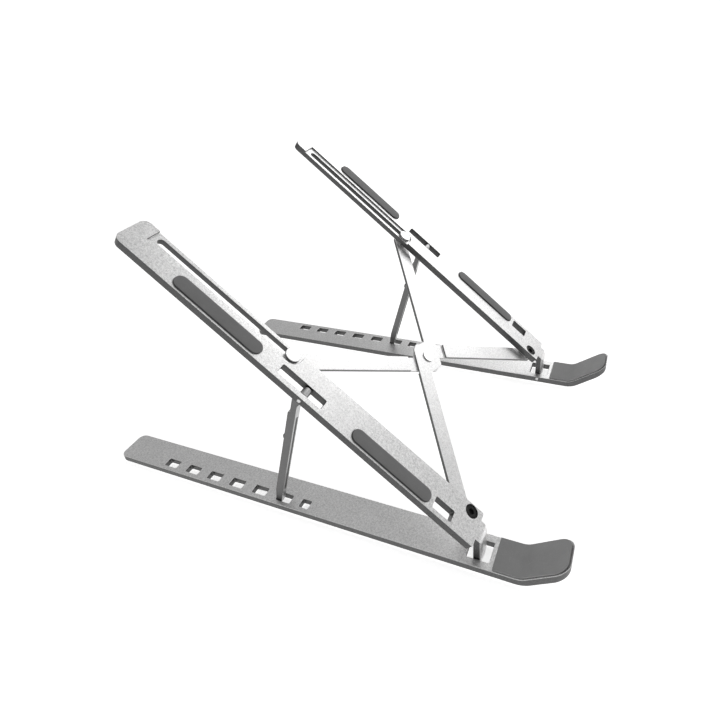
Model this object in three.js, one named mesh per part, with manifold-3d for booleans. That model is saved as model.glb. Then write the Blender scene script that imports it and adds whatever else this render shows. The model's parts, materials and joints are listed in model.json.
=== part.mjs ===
// Folding laptop stand: two base bars with turned-up lips, two rails hinged to them at the
// front, two struts that prop the rails up, and a pair of crossbars that scissor the halves apart.
// Millimetres, +Z up. The user sits on the -Y side, so the lips are at -Y; left is -X.

import * as THREE from 'three';
import { mergeVertices } from 'three/addons/utils/BufferGeometryUtils.js';
import Module from 'manifold-3d';

const wasm = await Module();
wasm.setup();

// ---- Driving dimensions ---------------------------------------------------------------------

const DEG = Math.PI / 180;

// Whole stand
const barWidth = 21;
const spread = 180.4; // outer edge to outer edge, fully open
const deckTilt = 40.9 * DEG;
const foldedGap = 0.6; // between the two halves when the scissor is closed

// Clearances
const pinFit = 0.15; // radial, around every pin and shank
const faceGap = 0.15; // between faces that turn on each other
const glueLine = 0.1;
const pocketGap = 0.3;

// Base bar
const baseThick = 4;
const footThick = 0.6;
const footInset = 2;
const baseFrontFoot = [-40, 38]; // y, between the hinge window and the short window
const rearFootLength = 25;
const rearFootEdge = 6; // from the rear window and from the rear end
const baseRear = 183.3; // y of the rear end
const baseCorner = 4.5;
const footSideGap = 0.4; // each side of the strut's foot in its window
const windowLength = 9.1;
const windowOffset = 5.8; // from the outer edge to the middle of windows and strut
const windowPitch = 16.55;
const windowCount = 6;
const firstWindow = 143.5; // y of the rearmost window's middle
const shortWindowLength = 5.7;
const shortWindowStep = 13.5;
const windowCorner = 0.7;

// Lip
const bendVertex = -71.4; // y where the base top meets the lip's inner face
const bendRadius = 8.5;
const lipAngle = 37.5 * DEG;
const lipLength = 25.8; // from the vertex
const lipCorner = 6;
const lipPadThick = 1;
const lipPadInset = 0.7;
const lipPadEndInset = 1.2;
const lipPadStart = -58.1;

// Front hinge
const hingeY = -50.1;
const hingeDepth = 1.75; // pin axis below the base's top face
const hingePinRadius = 1;
const hingeWindowWidth = 12.1;
const hingeWindowLength = 11.6;
const tongueSideGap = 0.3;
const hingePinEnd = 2.3; // from the outer edge to the hidden end of the pin

// Rail, in its own frame: y runs up the rail from the hinge axis, z is square to its top
const railThick = 4.2;
const railTop = 11.3;
const railFront = 11.35;
const railCorner = 4;
const railFrontCorner = 1;
const noseRadius = 5;
const tongueEdgeRadius = 2;

// Slot and ledge for the slider rivet
const pivotInset = 16.75; // from the outer edge to the line through screw and slot
const screwY = 17.9;
const slotFront = 132.9; // slider position, stand fully open
const slotSpare = 8.6; // slot left behind the slider, stand folded
const slotWidth = 4.2;
const ledgeDepth = 1;
const ledgeRadius = 5;
const ledgeBeyondSlot = 4.9;
const railBeyondLedge = 8.9;

// Rail pads
const padInset = 1.25;
const padWidth = 8.1;
const padPocket = 0.5;
const padRise = 1;
const rearPad = [144.5, 195.3];
const frontPad = [40.3, 88.5];

// Rail windows
const windowBeforePin = 10.1;
const windowBehindPin = 16.3;
const strutWindowGap = 0.6; // each side of the strut
const footWindow = [26.2, 37.7];
const footWindowGap = 0.9; // each side of the strut's foot
const railWindowShift = 0.2; // rail windows lie a little inboard of the strut

// Strut
const strutWidth = 5;
const strutThick = 4.3;
const strutPinY = 116.8;
const strutPinDrop = 2.6; // below the rail's top face
const strutPinRadius = 1;
const strutPinInner = 11.3; // from the outer edge to the pin's inner end
const knuckleRadius = 2.3;
const neckLength = 14.2;
const neckStep = 1.1;
const toeRadius = 1.75;
const toeSetback = 3.2;
const toeDepth = 0.9; // toe centre below the base's top face
const strutWindowIndex = 5;
const grooveWidth = 2.2;
const grooveDepth = 0.6;
const grooveStart = 18;
const grooveEndGap = 9;
const bumperAt = 33;
const bumperRise = 0.7;
const bumperLength = 4.4;

// Crossbars
const armWidth = 9.1;
const crossThick = 2;
const washerThick = 0.6;
const upperLap = 1;
const lapGap = 0.2;
const lowStepSpare = 6; // from the upper bar's edge to the open step on the lower bar
const bossSpare = 1.5; // the middle boss beyond an arm's width
const shoulderRadius = 4;

// Fasteners
const screwHeadRadius = 3.3;
const headGap = 0.4; // around the screw head in its counterbore
const counterboreDepth = 2.6;
const headSink = 0.35;
const shankRadius = 2;
const socketRadius = 1.75;
const socketDepth = 1.5;
const nutRadius = 3.4;
const nutThick = 1.4;
const sliderHeadRadius = 3.9;
const sliderHeadThick = 1.5;
const sliderGap = 0.2; // each side of the slider's shank in the slot
const centreHeadRadius = 3.4;
const centreHeadRise = 0.55;
const centreRadius = 1.5;
const washerRadius = 3.6;

// ---- Derived places ---------------------------------------------------------------------------

const halfSpread = spread / 2;
const railBottom = railTop - railThick;
const crossTop = railBottom - washerThick - 2 * faceGap;
const crossBottom = crossTop - crossThick;
const pinSide = halfSpread - pivotInset; // x of the scissor's end pins, fully open
const foldedSide = barWidth + foldedGap / 2 - pivotInset;
const scissorLength = Math.hypot(2 * pinSide, slotFront - screwY);
const openAngle = Math.asin((2 * pinSide) / scissorLength);
const foldedAngle = Math.asin((2 * foldedSide) / scissorLength);
const scissorTurn = openAngle - foldedAngle;
const foldedSlider = screwY + scissorLength * Math.cos(foldedAngle);
const slotRear = foldedSlider + slotSpare;
const ledgeRear = slotRear + ledgeBeyondSlot;
const railRear = ledgeRear + railBeyondLedge;
const sliderRadius = slotWidth / 2 - sliderGap;
const counterboreRadius = screwHeadRadius + headGap;
const armEdge = foldedGap / 4 + armWidth;
const crossing = 2 * openAngle;
const lapHalf = (armEdge * (1 + Math.abs(Math.cos(crossing)))) / Math.sin(crossing);
const lowStepHalf = armWidth + lowStepSpare;
const bossShoulder = armWidth / 2 + 0.1;
const bossTip = armWidth + bossSpare;
const armPin = (scissorLength / 2) * Math.cos(foldedAngle);
const centreY = (screwY + slotFront) / 2;
const hingeZ = footThick + baseThick - hingeDepth;
const bendStart = bendVertex + bendRadius * Math.tan(lipAngle / 2);
const lipEnd = bendVertex - lipLength * Math.cos(lipAngle);
const strutPinZ = railTop - strutPinDrop;
const strutFront = railThick - strutPinDrop + pocketGap; // clears the rail when folded under it
const strutRear = strutFront + strutThick;
const strutWindowY = firstWindow - strutWindowIndex * windowPitch;
const windowWidth = strutWidth + 2 * footSideGap;
const strutWindow = [strutPinY - windowBeforePin, strutPinY + windowBehindPin];
const strutWindowWidth = strutWidth + 2 * strutWindowGap;
const footWindowWidth = strutWidth + 2 * footWindowGap;
const strutOffset = windowOffset;
const railWindowOffset = strutOffset + railWindowShift;
const rearFootStart = firstWindow + windowLength / 2 + rearFootEdge;
const baseRearFoot = [rearFootStart, rearFootStart + rearFootLength];

// The strut reaches from its pin to the rear wall of its window
const pinRise = strutPinY * Math.sin(deckTilt) + strutPinZ * Math.cos(deckTilt) - hingeDepth;
const pinReach = hingeY + strutPinY * Math.cos(deckTilt) - strutPinZ * Math.sin(deckTilt);
const toeY = strutWindowY + windowLength / 2 - pocketGap - toeRadius;
const toeReach = toeY - pinReach;
const toeDrop = pinRise + toeDepth;
const strutLength = Math.sqrt(toeReach ** 2 + toeDrop ** 2 - toeSetback ** 2);
const strutLean = Math.atan2(toeReach, toeDrop) - Math.atan2(toeSetback, strutLength);

// ---- Materials ----------------------------------------------------------------------------------

const finish = (color, roughness, metalness) =>
  new THREE.MeshStandardMaterial({ color, roughness, metalness });
const aluminium = finish(0xc6c7c9, 0.42, 0.9);
const strutAluminium = finish(0xa9aaac, 0.4, 0.9);
const silicone = finish(0x6b6b6b, 0.8, 0);
const rubber = finish(0x2a2a2b, 0.85, 0);
const blackOxide = finish(0x1a1a1b, 0.45, 0.8);
const steel = finish(0xd5d5d6, 0.3, 1);

// ---- Shape helpers --------------------------------------------------------------------------------

const ARC_STEPS = 6;

const toSolid = (geometry) => {
  geometry.deleteAttribute('normal');
  geometry.deleteAttribute('uv');
  const merged = mergeVertices(geometry, 1e-4);
  const vertProperties = new Float32Array(merged.attributes.position.array);
  const triVerts = new Uint32Array(merged.index.array);
  return new wasm.Manifold(new wasm.Mesh({ numProp: 3, vertProperties, triVerts }));
};

const toGeometry = (solid) => {
  const { vertProperties, triVerts } = solid.getMesh();
  const geometry = new THREE.BufferGeometry();
  geometry.setAttribute('position', new THREE.BufferAttribute(vertProperties, 3));
  geometry.setIndex(new THREE.BufferAttribute(triVerts, 1));
  geometry.computeVertexNormals();
  return geometry;
};

const polygon = (points) => new THREE.Shape(points.map(([x, y]) => new THREE.Vector2(x, y)));

// Closed outline whose corners [x, y, radius] are rounded by arcs
const roundedOutline = (corners) => {
  const shape = new THREE.Shape();
  const count = corners.length;
  corners.forEach(([x, y, radius], index) => {
    const corner = new THREE.Vector2(x, y);
    const before = new THREE.Vector2(...corners[(index + count - 1) % count]).sub(corner).normalize();
    const after = new THREE.Vector2(...corners[(index + 1) % count]).sub(corner).normalize();
    const half = Math.acos(THREE.MathUtils.clamp(before.dot(after), -1, 1)) / 2;
    const setback = radius / Math.tan(half);
    const enter = corner.clone().addScaledVector(before, setback);
    const leave = corner.clone().addScaledVector(after, setback);
    const inward = before.clone().add(after).normalize();
    const centre = corner.clone().addScaledVector(inward, radius / Math.sin(half));
    if (index === 0) {
      shape.moveTo(enter.x, enter.y);
    } else {
      shape.lineTo(enter.x, enter.y);
    }
    if (radius > 0) {
      const from = Math.atan2(enter.y - centre.y, enter.x - centre.x);
      const to = Math.atan2(leave.y - centre.y, leave.x - centre.x);
      const clockwise = before.cross(after) > 0;
      shape.absarc(centre.x, centre.y, radius, from, to, clockwise);
    }
  });
  shape.closePath();
  return shape;
};

const roundedBox = (x0, x1, y0, y1, radius) =>
  roundedOutline([
    [x0, y0, radius],
    [x1, y0, radius],
    [x1, y1, radius],
    [x0, y1, radius],
  ]);

// Flat prism: an outline in x, y between two heights
const prism = (shape, z0, z1, steps = ARC_STEPS) => {
  const geometry = new THREE.ExtrudeGeometry(shape, {
    depth: z1 - z0,
    bevelEnabled: false,
    curveSegments: steps,
  });
  return toSolid(geometry.translate(0, 0, z0));
};

// Bar section: an outline in y, z between two x values
const section = (shape, x0, x1, steps = ARC_STEPS) => {
  const low = Math.min(x0, x1);
  const geometry = new THREE.ExtrudeGeometry(shape, {
    depth: Math.abs(x1 - x0),
    bevelEnabled: false,
    curveSegments: steps,
  });
  const basis = new THREE.Matrix4().makeBasis(
    new THREE.Vector3(0, 1, 0),
    new THREE.Vector3(0, 0, 1),
    new THREE.Vector3(1, 0, 0),
  );
  return toSolid(geometry.applyMatrix4(basis).translate(low, 0, 0));
};

const disc = (x, y, radius, z0, z1, sides = 24) => {
  const geometry = new THREE.CylinderGeometry(radius, radius, z1 - z0, sides);
  return toSolid(geometry.rotateX(Math.PI / 2).translate(x, y, (z0 + z1) / 2));
};

const rodAlongX = (x0, x1, y, z, radius, sides = 16) => {
  const geometry = new THREE.CylinderGeometry(radius, radius, Math.abs(x1 - x0), sides);
  return toSolid(geometry.rotateZ(Math.PI / 2).translate((x0 + x1) / 2, y, z));
};

const moved = (solid, matrix) => {
  const geometry = toGeometry(solid);
  geometry.applyMatrix4(matrix);
  return toSolid(geometry);
};

const named = (name, solid, material) => {
  const mesh = new THREE.Mesh(toGeometry(solid), material);
  mesh.name = name;
  return mesh;
};

// ---- One half of the stand: side is -1 for left and +1 for right -------------------------------

const across = (side, fromOuterEdge) => side * (halfSpread - fromOuterEdge);

const boxAcross = (side, offset, width, y0, y1, radius) => {
  const middle = across(side, offset);
  return roundedBox(middle - width / 2, middle + width / 2, y0, y1, radius);
};

// Section of a strip that follows the base's top face, round the bend and up the lip
const lipProfile = (low, high, rear) => {
  const surface = footThick + baseThick;
  const centreZ = surface + bendRadius;
  const down = -Math.PI / 2;
  const reach = 2 * lipLength;
  const along = new THREE.Vector2(-Math.cos(lipAngle), Math.sin(lipAngle)).multiplyScalar(reach);
  const inward = new THREE.Vector2(Math.sin(lipAngle), Math.cos(lipAngle));
  const centre = new THREE.Vector2(bendStart, centreZ);
  const under = centre.clone().addScaledVector(inward, low - bendRadius).add(along);
  const over = centre.clone().addScaledVector(inward, high - bendRadius).add(along);
  const shape = new THREE.Shape();
  shape.moveTo(rear, surface + low);
  shape.lineTo(bendStart, surface + low);
  shape.absarc(bendStart, centreZ, bendRadius - low, down, down - lipAngle, true);
  shape.lineTo(under.x, under.y);
  shape.lineTo(over.x, over.y);
  shape.absarc(bendStart, centreZ, bendRadius - high, down - lipAngle, down, false);
  shape.lineTo(rear, surface + high);
  shape.closePath();
  return shape;
};

// Outline of a base piece seen from above, with its front and rear corners rounded
const baseOutline = (side, inset, front, frontCorner, rear, rearCorner) => {
  const x0 = across(side, inset);
  const x1 = across(side, barWidth - inset);
  const outline = roundedOutline([
    [x0, front, frontCorner],
    [x1, front, frontCorner],
    [x1, rear, rearCorner],
    [x0, rear, rearCorner],
  ]);
  return prism(outline, -lipLength, 2 * lipLength);
};

const baseBar = (side) => {
  const top = footThick + baseThick;
  const strip = section(
    lipProfile(-baseThick, 0, baseRear + 1),
    across(side, -1),
    across(side, barWidth + 1),
    9,
  );
  let bar = strip.intersect(baseOutline(side, 0, lipEnd, lipCorner, baseRear, baseCorner));
  const cut = (offset, width, y, length) => {
    const outline = boxAcross(side, offset, width, y - length / 2, y + length / 2, windowCorner);
    bar = bar.subtract(prism(outline, footThick - 1, top + 1, 3));
  };
  for (let index = 0; index < windowCount; index += 1) {
    cut(windowOffset, windowWidth, firstWindow - index * windowPitch, windowLength);
  }
  const shortWindowY = firstWindow - (windowCount - 1) * windowPitch - shortWindowStep;
  cut(windowOffset, windowWidth, shortWindowY, shortWindowLength);
  cut(barWidth / 2, hingeWindowWidth, hingeY, hingeWindowLength);
  const bore = rodAlongX(
    across(side, hingePinEnd - pinFit),
    across(side, barWidth + 1),
    hingeY,
    hingeZ,
    hingePinRadius + pinFit,
  );
  return bar.subtract(bore);
};

const lipPad = (side) => {
  const strip = section(
    lipProfile(glueLine, glueLine + lipPadThick, lipPadStart + 1),
    across(side, 0),
    across(side, barWidth),
    9,
  );
  const corner = lipCorner - lipPadInset;
  return strip.intersect(
    baseOutline(side, lipPadInset, lipEnd + lipPadEndInset, corner, lipPadStart, 0),
  );
};

const baseFoot = (side, [y0, y1]) => {
  const outline = boxAcross(side, barWidth / 2, barWidth - 2 * footInset, y0, y1, 2);
  return prism(outline, 0, footThick - glueLine);
};

const hingePin = (side) =>
  rodAlongX(
    across(side, hingePinEnd),
    across(side, barWidth - pinFit),
    hingeY,
    hingeZ,
    hingePinRadius,
  );

// ---- Rail, with the tongue that turns down into the base's hinge window -------------------------

const tongue = (side) => {
  const halfLeg = railThick / 2;
  const up = new THREE.Vector2(Math.sin(deckTilt), Math.cos(deckTilt));
  const front = new THREE.Vector2(-up.y, up.x);
  const onFace = (sign, height) => {
    const along = (height - sign * front.y * halfLeg) / up.y;
    return new THREE.Vector2().addScaledVector(up, along).addScaledVector(front, sign * halfLeg);
  };
  const noseCorner = onFace(1, railTop);
  const heelCorner = onFace(-1, railBottom);
  const footFront = front.clone().multiplyScalar(halfLeg);
  const footRear = front.clone().multiplyScalar(-halfLeg);
  const profile = roundedOutline([
    [railFront + 4, railTop, 0],
    [noseCorner.x, noseCorner.y, noseRadius],
    [footFront.x, footFront.y, 0],
    [footRear.x, footRear.y, 0],
    [heelCorner.x, heelCorner.y, 0.8],
    [railFront + 4, railBottom, 0],
  ]);
  const x0 = across(side, barWidth / 2 - hingeWindowWidth / 2 + tongueSideGap);
  const x1 = across(side, barWidth / 2 + hingeWindowWidth / 2 - tongueSideGap);
  const leg = section(profile, x0, x1, 8).add(rodAlongX(x0, x1, 0, 0, halfLeg, 20));
  // The leg's front edges are rounded along its whole height
  const reach = railRear;
  const outline = roundedOutline([
    [x0, -halfLeg, tongueEdgeRadius],
    [x1, -halfLeg, tongueEdgeRadius],
    [x1, reach, 0],
    [x0, reach, 0],
  ]);
  const post = moved(
    prism(outline, -reach, reach, 5),
    new THREE.Matrix4().makeRotationX(-deckTilt),
  );
  return leg.intersect(post);
};

const rail = (side) => {
  const x0 = across(side, 0);
  const x1 = across(side, barWidth);
  const beyond = across(side, barWidth + 1);
  const pivotX = across(side, pivotInset);
  const wallX = across(side, pivotInset - ledgeRadius);
  const low = railBottom - 1;
  const high = railTop + 1;
  let body = prism(
    roundedOutline([
      [x0, railFront, railFrontCorner],
      [x1, railFront, railFrontCorner],
      [x1, railRear, railCorner],
      [x0, railRear, railCorner],
    ]),
    railBottom,
    railTop,
  ).add(tongue(side));
  const ledge = prism(
    polygon([
      [wallX, slotFront],
      [beyond, slotFront],
      [beyond, ledgeRear],
      [wallX, ledgeRear],
    ]),
    railTop - ledgeDepth,
    high,
  )
    .add(disc(pivotX, slotFront, ledgeRadius, railTop - ledgeDepth, high))
    .add(
      prism(
        polygon([
          [pivotX, slotFront - ledgeRadius],
          [beyond, slotFront - ledgeRadius],
          [beyond, slotFront + 1],
          [pivotX, slotFront + 1],
        ]),
        railTop - ledgeDepth,
        high,
      ),
    );
  const slotEnd = slotWidth / 2;
  const slot = boxAcross(
    side,
    pivotInset,
    slotWidth,
    slotFront - slotEnd,
    slotRear + slotEnd,
    slotEnd - 0.01,
  );
  const strutHole = boxAcross(
    side,
    railWindowOffset,
    strutWindowWidth,
    ...strutWindow,
    windowCorner,
  );
  const footHole = boxAcross(side, railWindowOffset, footWindowWidth, ...footWindow, windowCorner);
  body = body
    .subtract(ledge)
    .subtract(prism(slot, low, high, 8))
    .subtract(prism(strutHole, low, high, 3))
    .subtract(prism(footHole, low, high, 3))
    .subtract(disc(pivotX, screwY, counterboreRadius, railTop - counterboreDepth, high, 32))
    .subtract(disc(pivotX, screwY, shankRadius + pinFit, low, high));
  for (const [y0, y1] of [rearPad, frontPad]) {
    const pocket = boxAcross(
      side,
      padInset + padWidth / 2,
      padWidth + pocketGap,
      y0 - pocketGap / 2,
      y1 + pocketGap / 2,
      padWidth / 2,
    );
    body = body.subtract(prism(pocket, railTop - padPocket, high));
  }
  const strutBore = rodAlongX(
    across(side, -1),
    across(side, strutPinInner + pinFit),
    strutPinY,
    strutPinZ,
    strutPinRadius + pinFit,
  );
  const hingeBore = rodAlongX(
    across(side, 0),
    across(side, barWidth),
    0,
    0,
    hingePinRadius + pinFit,
  );
  return body.subtract(strutBore).subtract(hingeBore);
};

const railPad = (side, [y0, y1]) => {
  const outline = boxAcross(
    side,
    padInset + padWidth / 2,
    padWidth - pocketGap,
    y0,
    y1,
    padWidth / 2 - pocketGap,
  );
  return prism(outline, railTop - padPocket + glueLine, railTop + padRise);
};

const strutPin = (side) =>
  rodAlongX(
    across(side, 0.1),
    across(side, strutPinInner),
    strutPinY,
    strutPinZ,
    strutPinRadius,
  );

const pivotScrew = (side) => {
  const x = across(side, pivotInset);
  const headTop = railTop - headSink;
  const seat = railTop - counterboreDepth + faceGap;
  return disc(x, screwY, screwHeadRadius, seat, headTop, 32)
    .add(disc(x, screwY, shankRadius, crossBottom - faceGap - nutThick, seat + 0.5))
    .subtract(disc(x, screwY, socketRadius, headTop - socketDepth, headTop + 1, 6));
};

const pivotNut = (side) => {
  const x = across(side, pivotInset);
  const top = crossBottom - faceGap;
  return disc(x, screwY, nutRadius, top - nutThick, top, 6).subtract(
    disc(x, screwY, shankRadius + pinFit, top - nutThick - 1, top + 1),
  );
};

const washer = (x, y, bore) => {
  const top = railBottom - faceGap;
  return disc(x, y, washerRadius, top - washerThick, top).subtract(
    disc(x, y, bore + pinFit, top - washerThick - 1, top + 1),
  );
};

// ---- Strut, in its own frame: the pin is the origin, z runs up the strut, +y is its rear --------

const strut = (side) => {
  const x0 = across(side, strutOffset - strutWidth / 2);
  const x1 = across(side, strutOffset + strutWidth / 2);
  const neckRear = strutRear - neckStep;
  const profile = roundedOutline([
    [-knuckleRadius + 0.15, 0.6, 0],
    [-knuckleRadius + 0.15, -0.6, 0.3],
    [strutFront, -neckLength * 0.58, 2],
    [strutFront, -strutLength + 6, 3],
    [toeSetback - toeRadius, -strutLength, 0],
    [toeSetback + toeRadius, -strutLength, 0],
    [strutRear, -strutLength + 9, 6],
    [strutRear, -neckLength, 0.5],
    [neckRear, -neckLength, 0],
    [neckRear, -4.4, 1.5],
    [knuckleRadius - 0.15, -0.6, 0.3],
    [knuckleRadius - 0.15, 0.6, 0],
  ]);
  const groove = roundedOutline([
    [across(side, strutOffset) - grooveWidth / 2, -strutLength + grooveEndGap, grooveWidth / 2 - 0.02],
    [across(side, strutOffset) + grooveWidth / 2, -strutLength + grooveEndGap, grooveWidth / 2 - 0.02],
    [across(side, strutOffset) + grooveWidth / 2, -grooveStart, grooveWidth / 2 - 0.02],
    [across(side, strutOffset) - grooveWidth / 2, -grooveStart, grooveWidth / 2 - 0.02],
  ]);
  const standUp = new THREE.Matrix4().makeRotationX(Math.PI / 2);
  const channel = moved(prism(groove, -strutFront - grooveDepth, 4), standUp);
  return section(profile, x0, x1, 5)
    .add(rodAlongX(x0, x1, 0, 0, knuckleRadius, 24))
    .add(rodAlongX(x0, x1, toeSetback, -strutLength, toeRadius, 20))
    .subtract(channel)
    .subtract(rodAlongX(across(side, -1), across(side, barWidth), 0, 0, strutPinRadius + pinFit));
};

const strutBumper = (side) => {
  const x0 = across(side, strutOffset - strutWidth / 2 + 0.6);
  const x1 = across(side, strutOffset + strutWidth / 2 - 0.6);
  const rear = strutRear + glueLine;
  const half = bumperLength / 2;
  const bow = (half ** 2 + bumperRise ** 2) / (2 * bumperRise);
  const sweep = Math.asin(half / bow);
  const outline = new THREE.Shape();
  outline.absarc(rear + bumperRise - bow, -bumperAt, bow, -sweep, sweep, false);
  outline.closePath();
  return section(outline, x0, x1, 8);
};

// ---- Crossbars, drawn folded: y along the rails, and the middle of the scissor at the origin ----

// Each bar is cut to part of its thickness where they cross. The cut is a strip across the other
// bar, turned by stepTurn from square.
const crossbar = (mirror, lapLow, lapHigh, stepHalf, stepTurn) => {
  const inner = foldedGap / 4;
  const outer = armEdge;
  const end = armPin + armWidth / 2;
  const endRadius = armWidth / 2 - 0.01;
  const half = [
    [-inner, -bossTip, 0],
    [-inner, -end, endRadius],
    [-outer, -end, endRadius],
    [-outer, bossShoulder, shoulderRadius],
  ];
  const corners = [...half, ...half.map(([x, y, radius]) => [-x, -y, radius])];
  const outline = roundedOutline(corners.map(([x, y, radius]) => [mirror * x, y, radius]));
  const lapCut = moved(
    prism(
      polygon([
        [-3 * outer, -stepHalf],
        [3 * outer, -stepHalf],
        [3 * outer, stepHalf],
        [-3 * outer, stepHalf],
      ]),
      lapLow,
      lapHigh,
    ),
    new THREE.Matrix4().makeRotationZ(mirror * stepTurn),
  );
  const armX = mirror * foldedSide;
  return prism(outline, crossBottom, crossTop, 10)
    .subtract(lapCut)
    .subtract(disc(0, 0, centreRadius + pinFit, crossBottom - 1, crossTop + 1))
    .subtract(disc(-armX, -armPin, shankRadius + pinFit, crossBottom - 1, crossTop + 1))
    .subtract(disc(armX, armPin, sliderRadius + pinFit, crossBottom - 1, crossTop + 1));
};

const centreRivet = () => {
  const tail = crossBottom - faceGap;
  const head = crossTop + faceGap;
  return disc(0, 0, centreRadius, tail - 0.2, head + 0.2)
    .add(disc(0, 0, centreHeadRadius, head, head + centreHeadRise, 32))
    .add(disc(0, 0, centreHeadRadius, tail - 0.8, tail, 32));
};

const sliderRivet = (x, y) => {
  const seat = railTop - ledgeDepth + faceGap;
  const tail = crossBottom - faceGap;
  return disc(x, y, sliderRadius, tail - 0.2, seat + 0.2)
    .add(disc(x, y, sliderHeadRadius, seat, seat + sliderHeadThick, 32))
    .add(disc(x, y, sliderHeadRadius - 0.6, tail - 1, tail));
};

// ---- Assembly -----------------------------------------------------------------------------------

const stand = new THREE.Group();
stand.position.set(0, -(baseRear + lipEnd) / 2, 0);

const deck = new THREE.Group();
deck.position.set(0, hingeY, hingeZ);
deck.rotation.x = deckTilt;
stand.add(deck);

for (const [side, label] of [
  [-1, 'left'],
  [1, 'right'],
]) {
  const slotX = across(side, pivotInset);
  stand.add(
    named(`base_bar_${label}`, baseBar(side), aluminium),
    named(`lip_pad_${label}`, lipPad(side), silicone),
    named(`base_foot_front_${label}`, baseFoot(side, baseFrontFoot), silicone),
    named(`base_foot_rear_${label}`, baseFoot(side, baseRearFoot), silicone),
    named(`hinge_pin_${label}`, hingePin(side), steel),
  );
  deck.add(
    named(`rail_${label}`, rail(side), aluminium),
    named(`rail_pad_rear_${label}`, railPad(side, rearPad), silicone),
    named(`rail_pad_front_${label}`, railPad(side, frontPad), silicone),
    named(`strut_pin_${label}`, strutPin(side), steel),
    named(`pivot_screw_${label}`, pivotScrew(side), blackOxide),
    named(`pivot_nut_${label}`, pivotNut(side), blackOxide),
    named(`pivot_washer_${label}`, washer(slotX, screwY, shankRadius), steel),
    named(`slider_rivet_${label}`, sliderRivet(slotX, slotFront), steel),
    named(`slider_washer_${label}`, washer(slotX, slotFront, sliderRadius), steel),
  );
  const prop = new THREE.Group();
  prop.position.set(0, strutPinY, strutPinZ);
  prop.rotation.x = strutLean - deckTilt;
  prop.add(
    named(`strut_${label}`, strut(side), strutAluminium),
    named(`strut_bumper_${label}`, strutBumper(side), rubber),
  );
  deck.add(prop);
}

const middle = new THREE.Group();
middle.position.set(0, centreY, 0);
deck.add(middle);

const lapTop = crossTop - upperLap;
const lowerLap = crossbar(1, crossBottom - 1, lapTop, lapHalf, 0);
const upperStep = 2 * scissorTurn - Math.PI / 2;
const upperLapCut = crossbar(-1, lapTop - lapGap, crossTop + 1, lowStepHalf, upperStep);
const crossbarA = named('crossbar_a', lowerLap, aluminium);
crossbarA.rotation.z = -scissorTurn;
const crossbarB = named('crossbar_b', upperLapCut, aluminium);
crossbarB.rotation.z = scissorTurn;
middle.add(crossbarA, crossbarB, named('centre_rivet', centreRivet(), steel));

export default stand;
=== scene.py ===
"""Looks for the folding laptop stand: blasted aluminium bars, grey silicone pads, black screws."""

import json
import math

import bpy
import bmesh
from mathutils import Matrix, Vector


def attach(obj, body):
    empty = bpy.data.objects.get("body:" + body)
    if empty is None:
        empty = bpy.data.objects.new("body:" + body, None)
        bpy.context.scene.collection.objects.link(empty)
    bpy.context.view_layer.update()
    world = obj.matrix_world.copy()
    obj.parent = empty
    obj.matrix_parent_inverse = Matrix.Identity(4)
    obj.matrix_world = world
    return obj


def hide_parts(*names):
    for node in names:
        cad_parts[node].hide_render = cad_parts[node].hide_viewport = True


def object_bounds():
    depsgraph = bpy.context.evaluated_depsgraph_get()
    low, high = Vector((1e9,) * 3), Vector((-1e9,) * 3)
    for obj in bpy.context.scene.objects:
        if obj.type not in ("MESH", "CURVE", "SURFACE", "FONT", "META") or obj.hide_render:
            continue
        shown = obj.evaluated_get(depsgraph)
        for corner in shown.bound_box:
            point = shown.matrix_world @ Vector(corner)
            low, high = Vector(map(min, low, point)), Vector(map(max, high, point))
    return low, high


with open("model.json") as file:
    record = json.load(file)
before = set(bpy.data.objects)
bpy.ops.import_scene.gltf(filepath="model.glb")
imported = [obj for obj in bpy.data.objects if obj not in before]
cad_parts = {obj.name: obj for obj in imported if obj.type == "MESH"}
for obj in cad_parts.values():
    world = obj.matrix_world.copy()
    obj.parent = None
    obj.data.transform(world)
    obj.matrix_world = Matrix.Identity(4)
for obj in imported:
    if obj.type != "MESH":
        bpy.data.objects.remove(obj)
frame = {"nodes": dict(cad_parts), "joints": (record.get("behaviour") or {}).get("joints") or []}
nodes = frame["nodes"]
cad_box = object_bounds()
MM = 0.001
joints = {j["name"]: j for j in frame["joints"]}
DECK_ORIGIN = Vector(joints["deck_tilt"]["pos_m"])
DECK_UP = Vector(joints["scissor_fold"]["axis"]).normalized()
DECK_ALONG = Vector((0.0, DECK_UP.z, -DECK_UP.y))
ACROSS = Vector((1.0, 0.0, 0.0))
UP = Vector((0.0, 0.0, 1.0))

# Mesh finish
WELD_REACH = 0.002 * MM
FLAT_ANGLE = math.radians(0.4)
METAL_CREASE = math.radians(32.0)
SILICONE_CREASE = math.radians(40.0)
LIP_EDGE = 0.3 * MM
FOOT_EDGE = 0.15 * MM
PAD_SHOULDER = 0.38 * MM
PAD_CROWN = 0.12 * MM
PAD_SIDE_FLAT = 0.25 * MM  # how much smaller the end radius is than half the width
SMALLEST_RADIUS = 0.06 * MM

# Studio
FLOOR_HALF = 40.0
FLOOR_GLOW = 0.62
SKY_LEVEL = 0.46
HORIZON_GLOW = 0.75
CAMERA_LENS = 27.47
CAMERA_FROM_CENTRE = Vector((-0.2495, -0.1362, 0.1590))
CAMERA_YAW = math.radians(29.038)
CAMERA_PITCH = math.radians(-34.086)
CAMERA_ROLL = math.radians(-7.203)

bpy.context.scene.view_settings.view_transform = "Standard"


# ---- Node helpers ------------------------------------------------------------------------------

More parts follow.
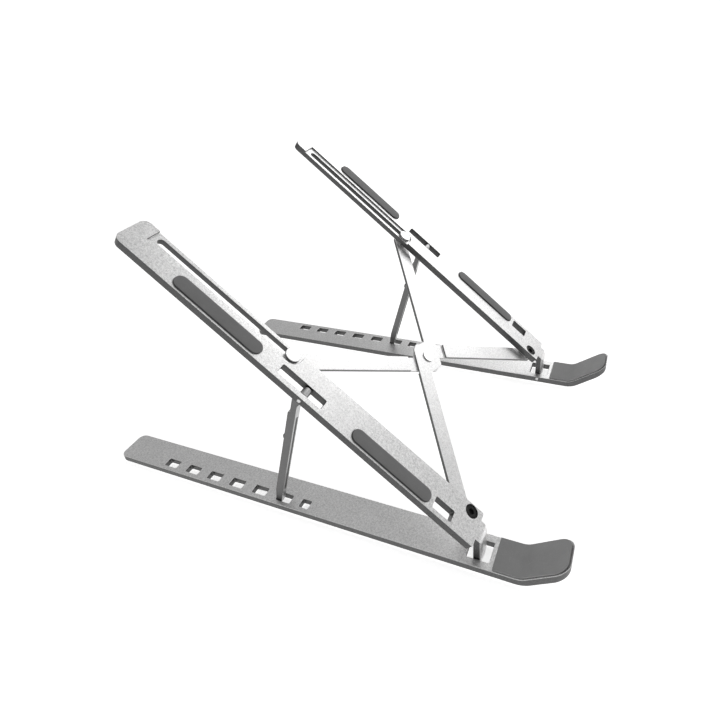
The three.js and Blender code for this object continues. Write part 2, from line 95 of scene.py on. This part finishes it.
class Graph:
    """A short way to build one material or world node tree."""

    def __init__(self, tree):
        self.tree = tree
        tree.nodes.clear()

    def add(self, kind, inputs=None, **settings):
        node = self.tree.nodes.new(kind)
        for key, value in settings.items():
            setattr(node, key, value)
        for key, value in (inputs or {}).items():
            if isinstance(value, bpy.types.NodeSocket):
                self.tree.links.new(value, node.inputs[key])
            else:
                node.inputs[key].default_value = value
        return node

    def math(self, operation, a, b=0.0, clamp=False):
        return self.add("ShaderNodeMath", {0: a, 1: b}, operation=operation, use_clamp=clamp).outputs[0]

    def spread(self, value, low, high, to_low, to_high, smooth=False):
        node = self.add(
            "ShaderNodeMapRange",
            {"Value": value, "From Min": low, "From Max": high, "To Min": to_low, "To Max": to_high},
            interpolation_type="SMOOTHSTEP" if smooth else "LINEAR",
        )
        return node.outputs["Result"]

    def mix(self, factor, a, b):
        node = self.add("ShaderNodeMix", {"Factor": factor}, data_type="RGBA")
        for socket, value in ((node.inputs[6], a), (node.inputs[7], b)):
            if isinstance(value, bpy.types.NodeSocket):
                self.tree.links.new(value, socket)
            else:
                socket.default_value = value
        return node.outputs[2]

    def noise(self, vector, scale, detail=2.0, roughness=0.5):
        node = self.add(
            "ShaderNodeTexNoise",
            {"Vector": vector, "Scale": scale, "Detail": detail, "Roughness": roughness},
        )
        return node.outputs["Fac"]

    def stretched(self, vector, scale):
        return self.add("ShaderNodeMapping", {"Vector": vector, "Scale": scale}).outputs[0]

    def bump(self, height, strength, distance):
        inputs = {"Height": height, "Strength": strength, "Distance": distance}
        return self.add("ShaderNodeBump", inputs).outputs[0]

    def surface(self, inputs):
        shader = self.add("ShaderNodeBsdfPrincipled", inputs)
        out = self.add("ShaderNodeOutputMaterial")
        self.tree.links.new(shader.outputs[0], out.inputs[0])


def grey(value, warm=0.0):
    return (value * (1 + warm), value, value * (1 - warm), 1.0)


def new_material(name):
    material = bpy.data.materials.new(name)
    material.use_nodes = True
    return material, Graph(material.node_tree)


# ---- Materials ---------------------------------------------------------------------------------

def top_share(g, coords, plate_up, low=0.3, high=0.8):
    """1 on the faces that look along plate_up, 0 on the walls around them; the materials use it to
    paint light and shade by facing.
    """
    facing = g.add(
        "ShaderNodeVectorMath",
        {0: coords.outputs["Normal"], 1: plate_up},
        operation="DOT_PRODUCT",
    ).outputs["Value"]
    return g.spread(g.math("ABSOLUTE", facing), low, high, 0.0, 1.0, smooth=True)


def blasted_aluminium(name, plate_up, painted_face_tone=0.80, edge=0.30, grain=1.0, roughness=0.40):
    """Anodised bar with blasted grain and painted light and shade: one tone on the faces along
    plate_up, another on the walls and edges around them.
    """
    material, g = new_material(name)
    coords = g.add("ShaderNodeTexCoord")
    place = coords.outputs["Object"]
    fine = g.noise(place, 2300.0, 2.0, 0.65)
    coarse = g.noise(place, 900.0, 2.0, 0.6)
    cloud = g.noise(place, 38.0, 3.0, 0.55)
    speckle = g.math("ADD", g.math("MULTIPLY", fine, 0.6), g.math("MULTIPLY", coarse, 0.4))
    # Painted light and shade: how much each point faces along plate_up.
    painted_face_share = top_share(g, coords, plate_up, 0.18, 0.5)
    tone = g.spread(speckle, 0.36, 0.64, 1.0 - 0.17 * grain, 1.0 + 0.1 * grain)
    tone = g.math("MULTIPLY", tone, g.spread(cloud, 0.3, 0.7, 0.96, 1.03))
    # Painted light and shade: faces along plate_up and the walls around them get separate tones, as if
    # lit or shaded.
    base = g.mix(painted_face_share, grey(edge), grey(painted_face_tone, 0.002))
    scaled = g.add(
        "ShaderNodeVectorMath", {0: base, "Scale": tone}, operation="SCALE"
    ).outputs[0]
    rough = g.spread(speckle, 0.35, 0.65, roughness - 0.06, roughness + 0.08)
    saw = g.noise(g.stretched(place, (1.0, 0.06, 1.0)), 1800.0, 1.0, 0.4)
    edge_marks = g.math("MULTIPLY", saw, g.math("SUBTRACT", 1.0, painted_face_share))
    height = g.math("ADD", speckle, g.math("MULTIPLY", edge_marks, 0.5))
    g.surface({
        "Base Color": scaled,
        "Metallic": 1.0,
        "Roughness": rough,
        "Normal": g.bump(height, 0.3 + 0.08 * grain, 0.00006),
    })
    return material


def silicone(name, tone, grain=1.0, plate_up=None, wall=1.0):
    """Matt moulded silicone with a faint mould texture, a little dust in the low spots, and painted
    shade on its walls when plate_up is given.
    """
    material, g = new_material(name)
    coords = g.add("ShaderNodeTexCoord")
    place = coords.outputs["Object"]
    fine = g.noise(place, 3200.0, 2.0, 0.6)
    soft = g.noise(place, 120.0, 3.0, 0.5)
    dust = g.spread(g.noise(place, 420.0, 4.0, 0.65), 0.56, 0.74, 0.0, 0.1)
    fine_tone = g.spread(fine, 0.3, 0.7, 0.93, 1.05)
    soft_tone = g.spread(soft, 0.3, 0.7, 0.95, 1.05)
    level = g.math("MULTIPLY", fine_tone, soft_tone)
    # Painted shade: faces that don't look along plate_up are darkened to the wall factor.
    if plate_up is not None:
        shade = g.spread(top_share(g, coords, plate_up), 0.0, 1.0, wall, 1.0)
        level = g.math("MULTIPLY", level, shade)
    colour = g.add(
        "ShaderNodeVectorMath", {0: g.mix(dust, grey(tone), grey(tone * 1.9)), "Scale": level},
        operation="SCALE",
    ).outputs[0]
    g.surface({
        "Base Color": colour,
        "Roughness": g.spread(fine, 0.3, 0.7, 0.66, 0.8),
        "Sheen Weight": 0.2,
        "Sheen Roughness": 0.4,
        "Normal": g.bump(fine, 0.25 * grain, 0.00004),
    })
    return material


def black_oxide(name):
    """Oiled black oxide steel, worn a little lighter in random patches."""
    material, g = new_material(name)
    coords = g.add("ShaderNodeTexCoord")
    place = coords.outputs["Object"]
    fine = g.noise(place, 2600.0, 3.0, 0.6)
    patch = g.noise(place, 520.0, 3.0, 0.6)
    wear = g.spread(patch, 0.55, 0.75, 0.0, 0.35, smooth=True)
    g.surface({
        "Base Color": g.mix(wear, grey(0.022), grey(0.09)),
        "Metallic": 0.75,
        "Roughness": g.spread(fine, 0.3, 0.7, 0.3, 0.46),
        "Normal": g.bump(fine, 0.2, 0.00005),
    })
    return material


def turned_steel(name, tone=0.86, roughness=0.26, wall=0.25):
    """Bright rivet and pin steel with fine turning marks, a few handling scuffs, and painted shade on
    the walls that don't look along DECK_UP.
    """
    material, g = new_material(name)
    coords = g.add("ShaderNodeTexCoord")
    place = coords.outputs["Object"]
    marks = g.noise(g.stretched(place, (1.0, 0.12, 0.12)), 3600.0, 2.0, 0.5)
    scuff = g.spread(g.noise(place, 700.0, 4.0, 0.7), 0.58, 0.76, 0.0, 0.22)
    worn = g.mix(scuff, grey(tone), grey(tone * 0.8))
    g.surface({
        # Painted shade: faces that don't look along DECK_UP get the darker wall tone.
        "Base Color": g.mix(top_share(g, coords, DECK_UP), grey(tone * wall), worn),
        "Metallic": 1.0,
        "Roughness": g.spread(marks, 0.3, 0.7, roughness - 0.05, roughness + 0.09),
        "Normal": g.bump(marks, 0.12, 0.00004),
    })
    return material


# Painted light and shade: on base, rails and crossbars the faces are painted lit and the walls (edge
# tone) painted in shade; the strut's sides along ACROSS are painted dark.
BASE_METAL = blasted_aluminium("base_aluminium", UP, painted_face_tone=0.77, edge=0.13, grain=1.6, roughness=0.42)
RAIL_METAL = blasted_aluminium("rail_aluminium", DECK_UP, painted_face_tone=0.88, edge=0.1, grain=1.8)
CROSS_METAL = blasted_aluminium("crossbar_aluminium", DECK_UP, painted_face_tone=0.92, edge=0.15, grain=1.2)
STRUT_METAL = blasted_aluminium("strut_aluminium", ACROSS, painted_face_tone=0.15, edge=0.5, grain=0.9)
# Painted shade: the pads' side walls are darkened to 0.3 of their top tone.
PAD_SILICONE = silicone("pad_silicone", 0.16, 1.0, DECK_UP, 0.3)
# Painted light: the lip strips use the pad silicone in a lighter tone, for the light they catch from
# above.
LIT_LIP_SILICONE = silicone("lit_lip_silicone", 0.26)
FOOT_SILICONE = silicone("foot_silicone", 0.12, 1.3)
BUMPER_RUBBER = silicone("bumper_rubber", 0.035)
SCREW_BLACK = black_oxide("black_oxide_steel")
RIVET_STEEL = turned_steel("rivet_steel")
PIN_STEEL = turned_steel("pin_steel", 0.7, 0.3, 0.9)


# ---- CAD nodes that stay: bevelled edges and their finish ----------------------------------------

def finish_mesh(obj, edge, segments, crease=METAL_CREASE):
    """Joins split vertices, clears flat facets, and rounds the sharp edges by that many metres."""
    weld = obj.modifiers.new("weld", "WELD")
    weld.merge_threshold = WELD_REACH
    flat = obj.modifiers.new("flat", "DECIMATE")
    flat.decimate_type = "DISSOLVE"
    flat.angle_limit = FLAT_ANGLE
    bevel = obj.modifiers.new("edge", "BEVEL")
    bevel.width = edge
    bevel.segments = segments
    bevel.limit_method = "ANGLE"
    bevel.angle_limit = crease
    bevel.use_clamp_overlap = False
    bevel.harden_normals = False
    normals = obj.modifiers.new("normals", "WEIGHTED_NORMAL")
    normals.mode = "FACE_AREA"
    normals.weight = 100
    stale = obj.data.attributes.get("custom_normal")
    if stale is not None:
        obj.data.attributes.remove(stale)
    for polygon in obj.data.polygons:
        polygon.use_smooth = True


def assign(obj, material):
    obj.data.materials.clear()
    obj.data.materials.append(material)


REPLACED = ("rail_pad", "lip_pad", "base_foot")

# Start of the node's name, material, edge width in mm, edge segments
FINISHES = (
    ("base_bar", BASE_METAL, 0.35, 3),
    ("rail_", RAIL_METAL, 0.12, 1),
    ("strut_bumper", BUMPER_RUBBER, 0.15, 2),
    ("strut_pin", PIN_STEEL, 0.15, 2),
    ("strut_", STRUT_METAL, 0.25, 2),
    ("crossbar_", CROSS_METAL, 0.25, 3),
    ("centre_rivet", RIVET_STEEL, 0.22, 3),
    ("slider_rivet", RIVET_STEEL, 0.3, 3),
    ("slider_washer", PIN_STEEL, 0.1, 2),
    ("pivot_washer", PIN_STEEL, 0.1, 2),
    ("pivot_screw", SCREW_BLACK, 0.25, 3),
    ("pivot_nut", SCREW_BLACK, 0.2, 2),
    ("hinge_pin", PIN_STEEL, 0.15, 2),
)
for node_name, node in nodes.items():
    if node_name.startswith(REPLACED):
        continue
    _, metal, width, steps = next(f for f in FINISHES if node_name.startswith(f[0]))
    assign(node, metal)
    finish_mesh(node, width * MM, steps)


# ---- Silicone pieces -------------------------------------------------------------------------------

def local_box(node_name, origin, axes):
    """Lowest and highest coordinates of a CAD node along three axes through origin."""
    rows = [[(v.co - origin).dot(a) for a in axes] for v in nodes[node_name].data.vertices]
    low = [min(r[k] for r in rows) for k in range(3)]
    high = [max(r[k] for r in rows) for k in range(3)]
    return low, high


def rounded_ring(half_x, half_y, radius, steps=8):
    points = []
    for quarter, (sx, sy) in enumerate(((1, 1), (-1, 1), (-1, -1), (1, -1))):
        for k in range(steps + 1):
            angle = math.pi / 2 * (quarter + k / steps)
            points.append((
                sx * (half_x - radius) + radius * math.cos(angle),
                sy * (half_y - radius) + radius * math.sin(angle),
            ))
    return points


def add_piece(name, mesh, body, node_name, material):
    obj = bpy.data.objects.new(name, mesh)
    bpy.context.scene.collection.objects.link(obj)
    mesh.materials.append(material)
    for polygon in mesh.polygons:
        polygon.use_smooth = True
    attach(obj, body)
    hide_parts(node_name)
    return obj


def pad_levels(half_x, bottom, top):
    """Inset and height of each ring: a straight wall, a round shoulder and a shallow crown."""
    wall_top = top - PAD_CROWN - PAD_SHOULDER
    levels = [(0.0, bottom), (0.0, wall_top)]
    for k in range(1, 5):
        angle = math.pi / 2 * k / 4
        inset = PAD_SHOULDER * (1 - math.cos(angle))
        height = top - PAD_CROWN - PAD_SHOULDER * (1 - math.sin(angle))
        levels.append((inset, height))
    reach = half_x - PAD_SHOULDER
    for share in (0.25, 0.5, 0.75, 0.97):
        levels.append((PAD_SHOULDER + reach * share, top - PAD_CROWN * (1 - share) ** 2))
    return levels


def bridged_mesh(name, rings):
    """A closed mesh through rings of equal length, with its first and last ring filled in."""
    bm = bmesh.new()
    loops = [[bm.verts.new(point) for point in ring] for ring in rings]
    for lower, upper in zip(loops, loops[1:]):
        count = len(lower)
        for k in range(count):
            following = (k + 1) % count
            bm.faces.new((lower[k], lower[following], upper[following], upper[k]))
    bm.faces.new(loops[-1])
    bm.faces.new(list(reversed(loops[0])))
    bmesh.ops.remove_doubles(bm, verts=bm.verts, dist=0.001 * MM)
    bmesh.ops.recalc_face_normals(bm, faces=bm.faces)
    mesh = bpy.data.meshes.new(name)
    bm.to_mesh(mesh)
    bm.free()
    return mesh


def moulded_pad(name, node_name, body):
    """A grip pad with fully rounded ends, a soft shoulder and a slightly crowned top."""
    low, high = local_box(node_name, DECK_ORIGIN, (ACROSS, DECK_ALONG, DECK_UP))
    middle = [(a + b) / 2 for a, b in zip(low, high)]
    half_x, half_y = (high[0] - low[0]) / 2, (high[1] - low[1]) / 2
    rings = []
    for inset, height in pad_levels(half_x, low[2], high[2]):
        radius = max(half_x - inset - PAD_SIDE_FLAT, SMALLEST_RADIUS)
        outline = rounded_ring(half_x - inset, half_y - inset, radius)
        rings.append([
            DECK_ORIGIN
            + ACROSS * (middle[0] + x)
            + DECK_ALONG * (middle[1] + y)
            + DECK_UP * height
            for x, y in outline
        ])
    pad = add_piece(name, bridged_mesh(name, rings), body, node_name, PAD_SILICONE)


def moulded_strip(name, node_name, body, material, edge):
    """A strip that keeps its CAD outline but has moulded, rounded edges."""
    mesh = nodes[node_name].data.copy()
    mesh.name = name
    mesh.materials.clear()
    strip = add_piece(name, mesh, body, node_name, material)
    finish_mesh(strip, edge, 3, SILICONE_CREASE)


for half in ("left", "right"):
    moulded_pad(f"rear_grip_pad_{half}", f"rail_pad_rear_{half}", f"rail_{half}")
    moulded_pad(f"front_grip_pad_{half}", f"rail_pad_front_{half}", f"rail_{half}")
    moulded_strip(f"lip_grip_{half}", f"lip_pad_{half}", f"base_{half}", LIT_LIP_SILICONE, LIP_EDGE)
    for end in ("front", "rear"):
        cad_foot = f"base_foot_{end}_{half}"
        moulded_strip(f"{end}_foot_{half}", cad_foot, f"base_{half}", FOOT_SILICONE, FOOT_EDGE)


# ---- Floor, light and camera -----------------------------------------------------------------------

low, high = cad_box
centre = (Vector(low) + Vector(high)) / 2


def make_floor():
    """A pale paper sweep, lit a little from within so that it stays even."""
    mesh = bpy.data.meshes.new("floor")
    corners = [(sx * FLOOR_HALF, sy * FLOOR_HALF, 0) for sx, sy in ((-1, -1), (1, -1), (1, 1), (-1, 1))]
    mesh.from_pydata(corners, [], [(0, 1, 2, 3)])
    floor = bpy.data.objects.new("floor", mesh)
    bpy.context.scene.collection.objects.link(floor)
    material, g = new_material("floor_paper")
    coords = g.add("ShaderNodeTexCoord")
    fibre = g.noise(coords.outputs["Object"], 600.0, 2.0)
    g.surface({
        "Base Color": g.mix(g.spread(fibre, 0.3, 0.7, 0.0, 1.0), grey(0.86), grey(0.9)),
        "Roughness": 0.9,
        "Specular IOR Level": 0.1,
        "Emission Color": (1.0, 1.0, 1.0, 1.0),
        "Emission Strength": FLOOR_GLOW,
    })
    mesh.materials.append(material)


def area_light(name, toward, distance, size, radiance):
    """A square softbox on the line from the stand's middle along toward, facing the stand."""
    data = bpy.data.lights.new(name, "AREA")
    data.shape = "RECTANGLE"
    data.size = size
    data.size_y = size
    data.energy = radiance * math.pi * size * size
    light = bpy.data.objects.new(name, data)
    direction = Vector(toward).normalized()
    light.location = centre + direction * distance
    light.rotation_euler = direction.to_track_quat("Z", "Y").to_euler()
    bpy.context.scene.collection.objects.link(light)


def make_world():
    """Even white room light with a brighter band around the horizon."""
    world = bpy.data.worlds.new("studio")
    bpy.context.scene.world = world
    world.use_nodes = True
    g = Graph(world.node_tree)
    coords = g.add("ShaderNodeTexCoord")
    split = g.add("ShaderNodeSeparateXYZ", {0: coords.outputs["Generated"]})
    level = g.math("ABSOLUTE", split.outputs["Z"])
    near_horizon = g.spread(level, 0.04, 0.12, 1.0, 0.0, smooth=True)
    strength = g.math("ADD", SKY_LEVEL, g.math("MULTIPLY", near_horizon, HORIZON_GLOW))
    background = g.add("ShaderNodeBackground", {"Color": (1, 1, 1, 1), "Strength": strength})
    out = g.add("ShaderNodeOutputWorld")
    g.tree.links.new(background.outputs[0], out.inputs[0])


def make_camera():
    """Stands to the user's left, above and in front, and looks down across the stand."""
    forward = Vector((
        math.cos(CAMERA_YAW) * math.cos(CAMERA_PITCH),
        math.sin(CAMERA_YAW) * math.cos(CAMERA_PITCH),
        math.sin(CAMERA_PITCH),
    ))
    level = forward.cross(UP).normalized()
    lift = level.cross(forward)
    right = level * math.cos(CAMERA_ROLL) + lift * math.sin(CAMERA_ROLL)
    top = lift * math.cos(CAMERA_ROLL) - level * math.sin(CAMERA_ROLL)
    data = bpy.data.cameras.new("camera")
    data.lens = CAMERA_LENS
    data.sensor_width = 36.0
    data.clip_start = 0.01
    data.clip_end = 200.0
    camera = bpy.data.objects.new("camera", data)
    turn = Matrix((right, top, -forward)).transposed().to_4x4()
    camera.matrix_world = Matrix.Translation(centre + CAMERA_FROM_CENTRE) @ turn
    bpy.context.scene.collection.objects.link(camera)
    bpy.context.scene.camera = camera


make_floor()
make_world()
make_camera()
area_light("softbox_right", (0.819, -0.331, 0.469), 1.3, 0.8, 1.5)
area_light("softbox_far", (0.93, 0.05, 0.36), 1.3, 0.5, 1.6)
area_light("overhead", (-0.1, 0.1, 1.0), 1.5, 1.2, 0.35)
